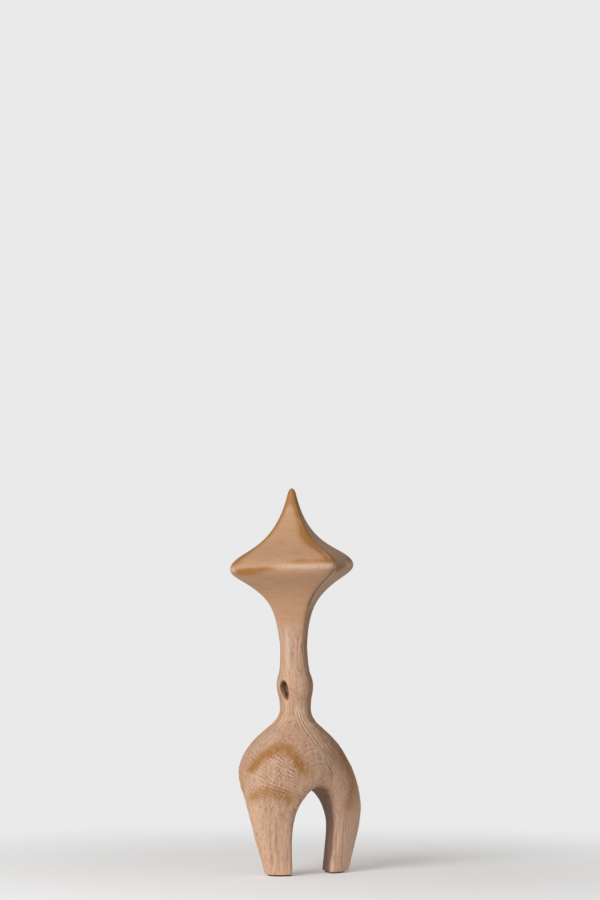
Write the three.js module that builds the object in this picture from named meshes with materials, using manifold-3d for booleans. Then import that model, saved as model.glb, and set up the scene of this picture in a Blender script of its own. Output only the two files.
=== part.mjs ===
// Carved wooden fertility doll: one block of wood on two thin felt pads.
// Millimetres, +Z up, the doll's front towards -Y, floor at Z = 0, the head centred on the Z axis.
// The block is a stack of horizontal sections that change from two joined legs to a round waist
// and a square head. An arched passage parts the legs, and an oval recess enters the chest.

import * as THREE from 'three';
import { LoftGeometry } from 'three/addons/geometries/LoftGeometry.js';
import { mergeVertices } from 'three/addons/utils/BufferGeometryUtils.js';
import Module from 'manifold-3d';

// Levels above the floor
const totalHeight = 380;
const ridgeHeight = 301.5;  // widest level of the head
const neckHeight = 216;     // slimmest level of the neck
const chestHeight = 186;    // fullest level of the small chest
const waistHeight = 162;    // slimmest level below the chest
const bellyHeight = 112;    // deepest level of the body, front to back
const hipHeight = 68;       // widest level across the thighs

// Half sizes of the sections
const headReach = 71.6;     // axis to each of the four corners
const neckReach = 14.9;
const chestReach = 18.3;
const waistReach = 15.1;
const bellyHalfDepth = 42.3;
const hipHalfWidth = 62.9;
const footHalfSpan = 46;  // outer side to outer side, halved
const footHalfDepth = 17;
const tipReach = 0.7;

// How far the sections stand off the head's axis: to the side, and forwards
const footShift = 11.4;
const hipShift = 8.6;
const bellyShift = 4;
const chestShift = 2.8;
const neckShift = 1.8;
const footForward = 8;
const hipForward = 8;
const bellyForward = -1.7;
const chestForward = -0.8;

// The head's corners: rounding of each corner, and rise of the ridge to the side and to the front
const cornerRounding = 0.1;
const ridgeRiseSide = 0.017;
const ridgeRiseFront = 0.039;

// Passage between the legs
const archHeight = 88;
const archWidestHeight = 45;
const archHalfWidth = 26;
const archFootHalfWidth = 22.5;
const archMiddleForward = 11.5;
const archSplay = 0.28;       // growth of the half width for each millimetre backwards
const archFlare = 0.008;      // further growth with the square of the distance, both ways
const archCrownLift = 0.004;
const archSideShift = 11.2;
const archFootSideShift = 9.6;

// Oval recess in the doll's right side
const recessHeight = 182;
const recessHalfWidth = 5.8;
const recessHalfHeight = 10;
const recessDepth = 14;
const recessTurn = 15;        // degrees forwards of straight sideways

// Felt pads
const padThickness = 1.2;
const padInset = 2.2;         // pad edge to foot edge
const padGap = 0.3;

// Fineness
const pointsAround = 48;
const cornerCrowding = 0.12;
const archPoints = 14;
const archSections = 12;

// A smooth curve through [position, value] knots that never overshoots them.
function curveThrough(knots) {
  const rate = (i) => (knots[i + 1][1] - knots[i][1]) / (knots[i + 1][0] - knots[i][0]);
  const slope = (i) => {
    if (i === 0 || i === knots.length - 1) return 0;
    const [before, after] = [rate(i - 1), rate(i)];
    return before * after > 0 ? (2 * before * after) / (before + after) : 0;
  };
  return (position) => {
    let i = knots.findIndex(([at]) => at > position) - 1;
    if (position <= knots[0][0]) return knots[0][1];
    if (i < 0) return knots.at(-1)[1];
    const width = knots[i + 1][0] - knots[i][0];
    const t = (position - knots[i][0]) / width;
    const ease = t * t * (3 - 2 * t);
    const lead = t * (1 - t) * (1 - t) * width * slope(i);
    const tail = t * t * (1 - t) * width * slope(i + 1);
    return THREE.MathUtils.lerp(knots[i][1], knots[i + 1][1], ease) + lead - tail;
  };
}

// Knots from one [level, value] to the next, shaped by [share of the height, share of the change].
function span([level, value], [nextLevel, nextValue], shape) {
  const inner = shape.map(([height, change]) => [
    THREE.MathUtils.lerp(level, nextLevel, height),
    THREE.MathUtils.lerp(value, nextValue, change),
  ]);
  return [[level, value], ...inner];
}

// From the waist up, the sections are as deep as they are wide.
const waist = [waistHeight, waistReach];
const chest = [chestHeight, chestReach];
const neck = [neckHeight, neckReach];
const ridge = [ridgeHeight, headReach];
const tip = [totalHeight, tipReach];
const upperKnots = [
  ...span(waist, chest, [[0.33, 0.13], [0.67, 0.66]]),
  ...span(chest, neck, [[0.23, 0.27], [0.43, 0.79], [0.67, 0.97]]),
  ...span(neck, ridge, [
    [0.21, 0.02], [0.35, 0.06], [0.47, 0.12], [0.56, 0.19], [0.66, 0.3],
    [0.75, 0.47], [0.83, 0.66], [0.895, 0.855], [0.94, 0.96],
  ]),
  ...span(ridge, tip, [
    [0.03, 0.01], [0.1, 0.09], [0.16, 0.185], [0.235, 0.335], [0.325, 0.495], [0.43, 0.635],
    [0.53, 0.735], [0.65, 0.82], [0.76, 0.89], [0.88, 0.945], [0.955, 0.975],
  ]),
  tip,
];

const foot = [0, footHalfSpan];
const hip = [hipHeight, hipHalfWidth];
const halfWidthAt = curveThrough([
  ...span(foot, hip, [[0.22, 0.28], [0.47, 0.61], [0.74, 0.88]]),
  ...span(hip, waist, [
    [0.18, 0.025], [0.34, 0.062], [0.47, 0.168], [0.6, 0.329],
    [0.7, 0.513], [0.8, 0.731], [0.875, 0.895], [0.94, 0.969],
  ]),
  ...upperKnots,
]);

const belly = [bellyHeight, bellyHalfDepth];
const halfDepthAt = curveThrough([
  ...span([0, footHalfDepth], belly, [
    [0.134, 0.03], [0.286, 0.06], [0.446, 0.122], [0.554, 0.228],
    [0.643, 0.418], [0.714, 0.616], [0.786, 0.795], [0.893, 0.95],
  ]),
  ...span(belly, waist, [[0.24, 0.066], [0.44, 0.268], [0.62, 0.544], [0.76, 0.8125], [0.88, 0.945]]),
  ...upperKnots,
]);

// Exponent of the section's outline: 2 is an ellipse, 1 a square standing on its corner.
const outlinePowerAt = curveThrough([
  [0, 3], [hipHeight, 2.3], [bellyHeight, 2.1], [waistHeight, 2], [chestHeight, 2],
  [neckHeight - 11, 1.7], [neckHeight + 14, 1.35], [neckHeight + 40, 1.12],
  [ridgeHeight, 0.97], [ridgeHeight + 49, 1.1], [totalHeight, 2],
]);

const sideShiftAt = curveThrough([
  [0, footShift], [hipHeight, hipShift], [bellyHeight, bellyShift], [chestHeight, chestShift],
  [neckHeight, neckShift], [ridgeHeight - 12, -1], [ridgeHeight, 0], [totalHeight, -0.6],
]);

const forwardAt = curveThrough([
  [0, footForward], [hipHeight, hipForward], [bellyHeight, bellyForward],
  [chestHeight, chestForward], [ridgeHeight, 0], [totalHeight, 0],
]);

// The ridge's rise fades in over the upper neck and out towards the tip.
const riseAt = curveThrough([
  [neckHeight + 39, 0], [ridgeHeight - 12, 1], [ridgeHeight + 29, 1], [totalHeight, 0],
]);

// One horizontal outline of the block, or one set in from it by an inset.
function sectionAt(level, inset = 0) {
  const power = outlinePowerAt(level);
  const soft = cornerRounding ** 2;
  const blunt = (share) => (share + soft) ** (power / 2);
  const scale = (blunt(1) + blunt(0)) ** (1 / power);
  const halfWidth = halfWidthAt(level) - inset;
  const halfDepth = halfDepthAt(level) - inset;
  const points = [];
  for (let i = 0; i < pointsAround; i++) {
    const even = (i / pointsAround) * 2 * Math.PI;
    const angle = even - cornerCrowding * Math.sin(4 * even);
    const [across, along] = [Math.cos(angle), Math.sin(angle)];
    const reach = scale / (blunt(across ** 2) + blunt(along ** 2)) ** (1 / power);
    const x = sideShiftAt(level) + halfWidth * across * reach;
    const y = halfDepth * along * reach - forwardAt(level);
    const rise = riseAt(level) * (ridgeRiseSide * x - ridgeRiseFront * y);
    points.push(new THREE.Vector3(x, y, level + rise));
  }
  return points;
}

// Levels of the sections: evenly spread between neighbouring stations.
function sectionLevels(soleHeight) {
  const stations = [
    [soleHeight, 9], [hipHeight, 6], [bellyHeight, 9], [waistHeight, 4], [chestHeight, 4],
    [neckHeight, 6], [neckHeight + 47, 6], [ridgeHeight - 10, 5],
    [ridgeHeight + 9, 10], [totalHeight - 9, 4], [totalHeight, 0],
  ];
  const levels = [];
  for (const [i, [level, steps]] of stations.entries()) {
    for (let step = 0; step < steps; step++) {
      levels.push(THREE.MathUtils.lerp(level, stations[i + 1][0], step / steps));
    }
  }
  return [...levels, totalHeight];
}

// The passage is lofted from back to front through arch outlines that widen away from its middle.
function archOutline(forward, inset) {
  const away = archMiddleForward - forward;
  const growth = inset + archSplay * away + archFlare * away ** 2;
  const lift = archCrownLift * away ** 2;
  const below = -archWidestHeight / 4;
  const points = [];
  for (let i = 0; i <= archPoints; i++) {
    const angle = (i / archPoints) * Math.PI;
    const x = archSideShift + (archHalfWidth + growth) * Math.cos(angle);
    const z = archWidestHeight + lift + (archHeight - archWidestHeight) * Math.sin(angle);
    points.push(new THREE.Vector3(x, -forward, z));
  }
  const wall = [0.75, 0.5, 0.25, 0].map((share) => THREE.MathUtils.lerp(below, archWidestHeight, share));
  const wallPoint = (side, z) => {
    const narrowing = ((archWidestHeight - z) / archWidestHeight) ** 2;
    const halfWidth = THREE.MathUtils.lerp(archHalfWidth, archFootHalfWidth, narrowing) + growth;
    const middle = THREE.MathUtils.lerp(archSideShift, archFootSideShift, narrowing);
    return new THREE.Vector3(middle + side * halfWidth, -forward, z);
  };
  points.push(...wall.map((z) => wallPoint(-1, z)));
  points.push(...wall.toReversed().map((z) => wallPoint(1, z)));
  return points;
}

function archPassage(inset = 0) {
  const [back, front] = [-headReach, headReach];
  const sections = [];
  for (let i = 0; i <= archSections; i++) {
    sections.push(archOutline(THREE.MathUtils.lerp(back, front, i / archSections), inset));
  }
  return new LoftGeometry(sections, { capStart: true, capEnd: true });
}

function chestRecess() {
  const geometry = new THREE.SphereGeometry(1, 28, 18);
  geometry.scale(recessDepth, recessHalfWidth, recessHalfHeight);
  geometry.translate(-chestReach, 0, recessHeight);
  geometry.rotateZ(THREE.MathUtils.degToRad(recessTurn));
  geometry.translate(chestShift, 0, 0);
  return geometry;
}

// Closed geometry to manifold solid, and back.
const wasm = await Module();
wasm.setup();

function toSolid(geometry) {
  const bare = new THREE.BufferGeometry();
  bare.setAttribute('position', geometry.attributes.position);
  bare.setIndex(geometry.index);
  const merged = mergeVertices(bare, 1e-4);
  const mesh = new wasm.Mesh({
    numProp: 3,
    vertProperties: Float32Array.from(merged.attributes.position.array),
    triVerts: Uint32Array.from(merged.index.array),
  });
  return new wasm.Manifold(mesh);
}

function toGeometry(solid) {
  const mesh = solid.getMesh();
  const geometry = new THREE.BufferGeometry();
  geometry.setAttribute('position', new THREE.BufferAttribute(mesh.vertProperties, 3));
  geometry.setIndex(new THREE.BufferAttribute(mesh.triVerts, 1));
  geometry.computeVertexNormals();
  return geometry;
}

const wood = new THREE.MeshStandardMaterial({ color: 0xc39b7c, roughness: 0.62, metalness: 0 });
const felt = new THREE.MeshStandardMaterial({ color: 0x5a4a3e, roughness: 0.95, metalness: 0 });

function figure() {
  const sections = sectionLevels(padThickness + padGap).map((level) => sectionAt(level));
  const block = toSolid(new LoftGeometry(sections, { capStart: true, capEnd: true }));
  const carved = block.subtract(toSolid(archPassage())).subtract(toSolid(chestRecess()));
  const mesh = new THREE.Mesh(toGeometry(carved), wood);
  mesh.name = 'figure';
  return mesh;
}

// Both pads have the outline of the feet, set in by the inset. The doll's right foot is on -X.
function footPads() {
  const levels = [0, padThickness];
  const slices = levels.map((level) => sectionAt(0, padInset).map((point) => point.setZ(level)));
  const slab = toSolid(new LoftGeometry(slices, { capStart: true, capEnd: true }));
  const pads = slab.subtract(toSolid(archPassage(padInset))).decompose();
  pads.sort((one, other) => one.boundingBox().min[0] - other.boundingBox().min[0]);
  return ['foot_pad_right', 'foot_pad_left'].map((name, i) => {
    const mesh = new THREE.Mesh(toGeometry(pads[i]), felt);
    mesh.name = name;
    return mesh;
  });
}

const doll = new THREE.Group();
doll.add(figure(), ...footPads());

export default doll;
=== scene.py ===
"""Looks of a carved wooden fertility doll on two felt pads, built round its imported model.

The shape classes work in millimetres, as the carving was designed, and their meshes are turned
into the scene's metres when they are made. The doll's front faces -Y, its right side is on -X.
"""

import logging
import math
from collections.abc import Iterator
from dataclasses import dataclass, field
from enum import Enum
from functools import cached_property

import bpy
import numpy as np
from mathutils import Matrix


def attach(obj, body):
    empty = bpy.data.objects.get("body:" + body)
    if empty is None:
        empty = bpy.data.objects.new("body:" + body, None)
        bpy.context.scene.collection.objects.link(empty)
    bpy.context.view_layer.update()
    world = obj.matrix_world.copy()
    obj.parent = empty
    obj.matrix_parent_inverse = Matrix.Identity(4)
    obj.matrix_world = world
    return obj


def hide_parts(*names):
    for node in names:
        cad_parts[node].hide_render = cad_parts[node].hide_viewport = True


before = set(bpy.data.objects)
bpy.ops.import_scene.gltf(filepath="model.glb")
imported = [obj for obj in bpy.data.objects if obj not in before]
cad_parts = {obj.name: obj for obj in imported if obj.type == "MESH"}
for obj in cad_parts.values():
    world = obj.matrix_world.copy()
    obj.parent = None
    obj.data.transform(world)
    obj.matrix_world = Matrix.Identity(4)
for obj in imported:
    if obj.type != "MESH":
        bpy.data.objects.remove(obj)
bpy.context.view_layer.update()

Array = np.ndarray
LOG = logging.getLogger("fertility_doll")
METRES = 0.001
FRONT, BACK = -math.pi / 2, math.pi / 2


# ---------------------------------------------------------------- numbers


def eased(value: Array) -> Array:
    """A smooth step: 0 up to zero, 1 from one on, and 3v^2 - 2v^3 in between."""
    held = np.clip(value, 0.0, 1.0)
    return held * held * (3.0 - 2.0 * held)


def bell(distance: Array, width: float) -> Array:
    """A bell curve that is 1 at no distance and 0.37 at its width."""
    return np.exp(-((distance / width) ** 2))


def lattice_noise(points: Array, seed: int) -> Array:
    """Smooth random values, one for each point.

    Every corner of a unit lattice gets a value from a whole-number hash of its three counts and
    the seed, and a point takes the eased blend of its cell's eight corners.

    Args:
        points: Places, with the three coordinates last, in lattice units.
        seed: Chooses one of many patterns.

    Returns:
        Values from -1 to 1.
    """
    cell = np.floor(points)
    ease = eased(points - cell)
    counts = cell.astype(np.int64)
    primes = np.array([73856093, 19349663, 83492791], np.int64)
    total = np.zeros(points.shape[:-1])
    for corner in range(8):
        step = np.array([corner & 1, corner >> 1 & 1, corner >> 2 & 1])
        key = ((counts + step) * primes).sum(-1) + seed * 2654435761
        key = (key ^ (key >> 15)) & 0xFFFFFFF
        key = (key * 48271 + 11) & 0x7FFFFFF
        key = ((key ^ (key >> 9)) * 69621) & 0xFFFFFF
        weight = np.where(step == 1, ease, 1.0 - ease).prod(-1)
        total += weight * (key / 0x7FFFFF - 1.0)
    return total


def layered_noise(points: Array, seed: int, layers: int = 3) -> Array:
    """Lattice noise with finer layers on it, each at twice the pitch and half the height."""
    total = sum(0.5**k * lattice_noise(points * 2.0**k, seed + 17 * k) for k in range(layers))
    return total / (2.0 - 0.5 ** (layers - 1))


# ---------------------------------------------------------------- shape of the block


@dataclass(frozen=True)
class Profile:
    """One size of the block as a smooth function of height.

    The stations are joined by monotone cubic pieces, whose slope at a station is the harmonic
    mean of the rates on its two sides. The curve is sampled every half millimetre and averaged
    with a bell curve, so that no station shows as a crease. The very tip isn't averaged.
    """

    stations: tuple[tuple[float, float], ...]
    blur: float
    pitch: float = 0.5
    sharp_from: float = 366.0

    @cached_property
    def table(self) -> tuple[Array, Array]:
        """Heights and values, sampled from below the floor to above the tip.

        Returns:
            The heights, and the values at them.
        """
        at, value = np.array(self.stations).T
        rate = np.diff(value) / np.diff(at)
        both = rate[:-1] * rate[1:]
        mean = np.where(both > 0, 2 * both / np.where(both > 0, rate[:-1] + rate[1:], 1.0), 0.0)
        slope = np.concatenate([rate[:1], mean, rate[-1:]])
        heights = np.arange(-20.0, 400.0, self.pitch)
        i = np.clip(np.searchsorted(at, heights, side="right") - 1, 0, len(rate) - 1)
        width = at[i + 1] - at[i]
        t = np.clip((heights - at[i]) / width, 0.0, 1.0)
        raw = (
            value[i]
            + (value[i + 1] - value[i]) * t * t * (3 - 2 * t)
            + width * t * (1 - t) * ((1 - t) * slope[i] - t * slope[i + 1])
            + np.minimum(heights - at[0], 0.0) * slope[0]
        )
        reach = np.arange(-4 * self.blur, 4 * self.blur + self.pitch, self.pitch)
        weights = np.exp(-0.5 * (reach / self.blur) ** 2)
        padded = np.pad(raw, len(reach) // 2, mode="edge")
        blurred = np.convolve(padded, weights / weights.sum(), mode="valid")[: len(raw)]
        return heights, blurred + (raw - blurred) * eased((heights - self.sharp_from) / 8.0)

    def at(self, height: Array) -> Array:
        """The size at each height."""
        return np.interp(height, *self.table)


HEAD_REACH = (
    (199, 15.6), (210, 14.9), (222, 14.9), (234, 16.1), (246, 18.4), (256, 21.5), (264, 25.4),
    (272, 31.6), (280, 40.9), (287, 51.7), (293, 62.6), (297.3, 69.0), (301, 71.5), (304, 71.5),
    (307, 69.7), (310.3, 66.4), (314.5, 60.0), (320.2, 48.6), (327, 36.7), (335, 26.8), (343, 19.7),
    (352, 13.7), (361, 9.2), (369, 6.0), (375, 4.1), (378.6, 2.3), (380, 0.4),
)  # fmt: skip
CHEST_REACH = (
    (150, 20.2), (156, 16.6), (162, 15.1), (170, 15.5), (178, 17.2), (186, 18.3), (193, 17.4),
)  # fmt: skip
BODY_HALF_WIDTH = (
    (0, 45.2), (15, 50.4), (32, 56.4), (50, 61.8), (68, 64.6), (85, 63.6), (100, 61.0), (112, 55.6),
    (124, 47.8), (134, 38.8), (143, 28.2),
)  # fmt: skip
BODY_HALF_DEPTH = (
    (0, 17), (15, 17.4), (32, 18), (50, 18.6), (62, 21.5), (72, 26.5), (80, 32), (88, 36.8),
    (100, 41), (112, 42.3), (124, 40.5), (134, 35), (143, 27.5),
)  # fmt: skip


@dataclass(frozen=True)
class Passage:
    """The arched passage between the legs, in millimetres."""

    middle: Profile = Profile(((0, 8.3), (20, 9.0), (33, 9.9), (58, 11.3), (80, 11.3)), 4.0)
    half_width: Profile = Profile(((0, 24.0), (20, 25.7), (33, 26.6), (58, 24.9), (80, 24.8)), 4.0)
    spring_height: float = 45.0
    crown_height: float = 84.6
    roundness: float = 2.0
    waist_at: float = -11.5
    splay: float = 0.28
    flare: float = 0.008
    crown_lift: float = 0.004

    def spread(self, y: Array, z: Array) -> tuple[Array, Array, Array]:
        """Middle line, half width and crown lift of the passage.

        The half width grows with the distance from the passage's narrowest place and with its
        square.

        Args:
            y: Places from front to back.
            z: Heights.

        Returns:
            The middle line's x, the half width, and how far the crown is lifted there.
        """
        away = y - self.waist_at
        lift = self.crown_lift * away**2
        half = self.half_width.at(z - lift) + self.splay * away + self.flare * away**2
        return self.middle.at(z - lift), half, lift

    def distance(self, x: Array, y: Array, z: Array) -> Array:
        """Roughly how far outside the passage each point is; below zero inside it.

        Args:
            x: Places from side to side.
            y: Places from front to back.
            z: Heights.

        Returns:
            The distance, roughly in millimetres.
        """
        middle, half, lift = self.spread(y, z)
        up = np.clip(z - lift - self.spring_height, 0.0, None)
        aside = np.abs(x - middle)
        q = self.roundness
        reach = np.hypot(aside, up) + 1e-9
        rise = self.crown_height - self.spring_height
        share = ((aside / half) ** q + (up / rise) ** q) ** (1.0 / q) + 1e-9
        return reach - reach / share


@dataclass(frozen=True)
class Recess:
    """The oval recess in the doll's right side, in millimetres."""

    height: float = 180.8
    half_width: float = 5.0
    half_height: float = 10.6
    depth: float = 13.5
    turn: float = math.radians(15.0)
    reach: float = 18.3
    axis_shift: float = 2.8
    lean: float = 0.13
    taper: float = 0.3

    def local(self, points: Array) -> tuple[Array, Array, Array]:
        """Place of each point inwards, towards the front, and upwards from the recess's mouth."""
        inward = np.array([math.cos(self.turn), math.sin(self.turn)])
        mouth = np.array([self.axis_shift, 0.0]) - self.reach * inward
        flat = points[..., :2] - mouth
        up = points[..., 2] - self.height
        front = flat[..., 0] * inward[1] - flat[..., 1] * inward[0]
        return flat @ inward, front + self.lean * up, up

    def distance(self, points: Array) -> Array:
        """Roughly how far outside the recess each point is; below zero inside it.

        It is an ellipsoid whose half width shrinks towards its lower end, so that the mouth is
        oval at the top and pointed at the bottom.

        Args:
            points: Places in or near the block.

        Returns:
            The distance, roughly in millimetres.
        """
        inward, front, up = self.local(points)
        half = self.half_width * (1.0 + self.taper * np.clip(up / self.half_height, -1.1, 0.4))
        share = np.sqrt(
            (inward / self.depth) ** 2 + (front / half) ** 2 + (up / self.half_height) ** 2
        )
        return (share - 1.0) * self.half_width * (0.6 + 0.4 * np.clip(share, 0.0, 1.0))


@dataclass(frozen=True)
class Block:
    """The whole carved block as a field that is below zero in the wood, in millimetres."""

    half_width: Profile = Profile(BODY_HALF_WIDTH + CHEST_REACH + HEAD_REACH, 1.6)
    half_depth: Profile = Profile(BODY_HALF_DEPTH + CHEST_REACH + HEAD_REACH, 1.6)
    power: Profile = Profile(
        (
            (0, 3.1), (30, 2.7), (68, 2.3), (112, 2.1), (162, 2.0), (190, 2.0), (205, 1.6), (230, 1.24),
            (256, 1.12), (280, 1.0), (301, 0.97), (325, 1.0), (350, 1.1), (370, 1.5), (380, 2.0),
        ),
        8.0,
    )  # fmt: skip
    side: Profile = Profile(
        (
            (0, 12.2), (50, 11.0), (68, 9.4), (84, 7.0), (100, 4.6), (112, 3.2), (130, 3.6),
             (162, 4.6), (186, 3.8),
            (222, 2.0), (278, 0.3), (290, 0.0), (301, 0.0), (340, -0.5), (380, -0.4),
        ),
        9.0,
    )  # fmt: skip
    backward: Profile = Profile(
        (
            (0, -8.0), (50, -8.2), (68, -7.6), (112, 1.7), (130, 1.9), (162, 1.2), (186, 0.8),
            (222, 0.4), (301, 0.0), (380, 0.0),
        ),
        9.0,
    )  # fmt: skip
    passage: Passage = Passage()
    recess: Recess = Recess()
    corner: float = 0.10
    ridge_rise: tuple[float, float] = (0.0166, -0.039)
    arch_rounding: Profile = Profile(((0, 7), (25, 9), (62, 15), (150, 15)), 4.0)
    mouth_rounding: float = 1.6
    top: float = 380.0

    def bluntness(self, across: Array, along: Array, power: Array) -> Array:
        """How far short of the unit circle the section stays in a direction.

        It is the power mean of the direction's two parts, each softened by the corner rounding,
        divided by its value on an axis.

        Args:
            across: Square of the direction's first part.
            along: Square of its second part.
            power: 2 for an ellipse, 1 for a square standing on its corner.

        Returns:
            1 on the axes, more than 1 where the outline lies inside the circle.
        """
        soft = self.corner**2
        half = power / 2.0
        mean = (across + soft) ** half + (along + soft) ** half
        whole = (1.0 + soft) ** half + soft**half
        return (mean / whole) ** (1.0 / power)

    def rise(self, x: Array, y: Array, z: Array) -> Array:
        """How far the head's ridge is lifted at each place, fading out at the neck and tip."""
        fade = eased(np.clip((z - 255.0) / 35.0, 0, 1) * np.clip((self.top - z) / 50.0, 0, 1))
        return (self.ridge_rise[0] * x + self.ridge_rise[1] * y) * fade

    def outline(self, turn: Array, level: Array) -> Array:
        """Points of the block's outside, before the passage and the recess are cut.

        A point's turn goes round the section's ellipse, and its reach there is the ellipse's
        divided by the bluntness of the direction.

        Args:
            turn: Angle round the section, in radians, 0 towards +X.
            level: Height of the section.

        Returns:
            The points, with the three coordinates last.
        """
        across, along = np.cos(turn), np.sin(turn)
        short = self.bluntness(across**2, along**2, self.power.at(level))
        x = self.side.at(level) + self.half_width.at(level) * across / short
        y = self.backward.at(level) + self.half_depth.at(level) * along / short
        return np.stack([x, y, level + self.rise(x, y, level)], -1)

    def turn_of(self, points: Array) -> Array:
        """The turn at which each point stands on its own section."""
        x, y, z = np.moveaxis(points, -1, 0)
        across = (x - self.side.at(z)) / self.half_width.at(z)
        return np.arctan2((y - self.backward.at(z)) / self.half_depth.at(z), across)

    def outside(self, points: Array) -> Array:
        """Roughly how far outside the uncut block each point is.

        Args:
            points: Places in or near the block.

        Returns:
            The distance, roughly in millimetres.
        """
        x, y, z = np.moveaxis(points, -1, 0)
        level = z - self.rise(x, y, z)
        dx, dy = x - self.side.at(level), y - self.backward.at(level)
        u = (dx / (self.half_width.at(level) + 1e-6)) ** 2
        v = (dy / (self.half_depth.at(level) + 1e-6)) ** 2
        n = np.sqrt(u + v) + 1e-9
        share = n * self.bluntness(u / (n * n), v / (n * n), self.power.at(level))
        reach = np.hypot(dx, dy)
        return reach - reach / (share + 1e-9)

    def field(self, points: Array) -> Array:
        """The carved block's field: below zero in the wood, above zero outside it.

        The block's, the passage's and the recess's fields are joined by a larger-of-two that is
        rounded over the width of each edge's rounding.
        """
        wood = self.outside(points)
        gap = -self.passage.distance(*np.moveaxis(points, -1, 0))
        low = eased((150.0 - points[..., 2]) / 15.0)
        gap = np.where(low > 0, gap * low - 60.0 * (1.0 - low), -60.0)
        wood = self.rounded_larger(wood, gap, self.arch_rounding.at(points[..., 2]))
        return self.rounded_larger(wood, -self.recess.distance(points), self.mouth_rounding)

    @staticmethod
    def rounded_larger(one: Array, other: Array, width: Array | float) -> Array:
        """The larger of two fields, with the edge between them rounded over a width."""
        share = np.clip(0.5 + 0.5 * (one - other) / width, 0.0, 1.0)
        return other * (1 - share) + one * share + width * share * (1 - share)

    def gradient(self, points: Array, reach: float = 0.25) -> Array:
        """The field's rate of change at each point, from differences to both sides.

        Args:
            points: Places in or near the block.
            reach: How far to both sides the field is read.

        Returns:
            One vector for each point.
        """
        parts = []
        for axis in np.eye(3) * reach:
            parts.append(self.field(points + axis) - self.field(points - axis))
        return np.stack(parts, -1) / (2 * reach)

    def normals(self, points: Array) -> Array:
        """Outward unit vectors square to the carved surface."""
        slope = self.gradient(points)
        return slope / (np.linalg.norm(slope, axis=-1, keepdims=True) + 1e-9)

    def settled(self, points: Array, rounds: int = 3) -> Array:
        """Moves points onto the carved surface by Newton steps along the field's gradient.

        Args:
            points: Places near the surface.
            rounds: How many steps are made.

        Returns:
            The moved points.
        """
        for _ in range(rounds):
            slope = self.gradient(points)
            size = (slope**2).sum(-1, keepdims=True) + 1e-6
            step = -self.field(points)[..., None] * slope / size
            length = np.linalg.norm(step, axis=-1, keepdims=True)
            points = points + step * np.minimum(1.0, 3.0 / (length + 1e-9))
        return points


# ---------------------------------------------------------------- the skin's grids


@dataclass
class Sheet:
    """Points and faces of a mesh while it is put together, in millimetres."""

    points: list[Array] = field(default_factory=list)
    faces: list[Array] = field(default_factory=list)
    count: int = 0

    def add(self, points: Array) -> Array:
        """Adds points and returns their numbers, in the same arrangement."""
        flat = points.reshape(-1, 3)
        self.points.append(flat)
        numbers = self.count + np.arange(len(flat)).reshape(points.shape[:-1])
        self.count += len(flat)
        return numbers

    def net(self, numbers: Array, upwards: bool) -> None:
        """Joins rows of point numbers by four-sided faces.

        Args:
            numbers: One row for each level. The rows run clockwise seen from above.
            upwards: Whether the rows follow each other upwards.
        """
        rows = numbers if upwards else numbers[::-1]
        low, high = rows[:-1], rows[1:]
        quads = [low[:, :-1], high[:, :-1], high[:, 1:], low[:, 1:]]
        self.faces.append(np.stack(quads, -1).reshape(-1, 4))

    def halve(self, fine: Array, coarse: Array) -> None:
        """Joins a row upwards to one with half as many points, three triangles to a pair."""
        a, b, c = fine[:-2:2], fine[1:-1:2], fine[2::2]
        d, e = coarse[:-1], coarse[1:]
        for trio in ((a, d, b), (b, d, e), (b, e, c)):
            self.faces.append(np.stack([*trio, trio[-1]], -1))

    def fan(self, ring: Array, pole: int, upwards: bool) -> None:
        """Closes a ring, which runs clockwise seen from above, onto one point."""
        one, other = (ring[:-1], ring[1:]) if upwards else (ring[1:], ring[:-1])
        centre = np.full(len(one), pole)
        self.faces.append(np.stack([one, centre, other, other], -1))

    def finished(self) -> tuple[Array, Array]:
        """All points, and all faces, where a triangle repeats its last number."""
        return np.concatenate(self.points), np.concatenate(self.faces)


def neighbours(faces: Array) -> tuple[Array, Array]:
    """Both ends of every edge of the faces, each edge once each way."""
    ends = np.concatenate([faces[:, [k, (k + 1) % 4]] for k in range(4)])
    ends = ends[ends[:, 0] != ends[:, 1]]
    ends = np.unique(np.sort(ends, 1), axis=0)
    return np.concatenate([ends[:, 0], ends[:, 1]]), np.concatenate([ends[:, 1], ends[:, 0]])


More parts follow.
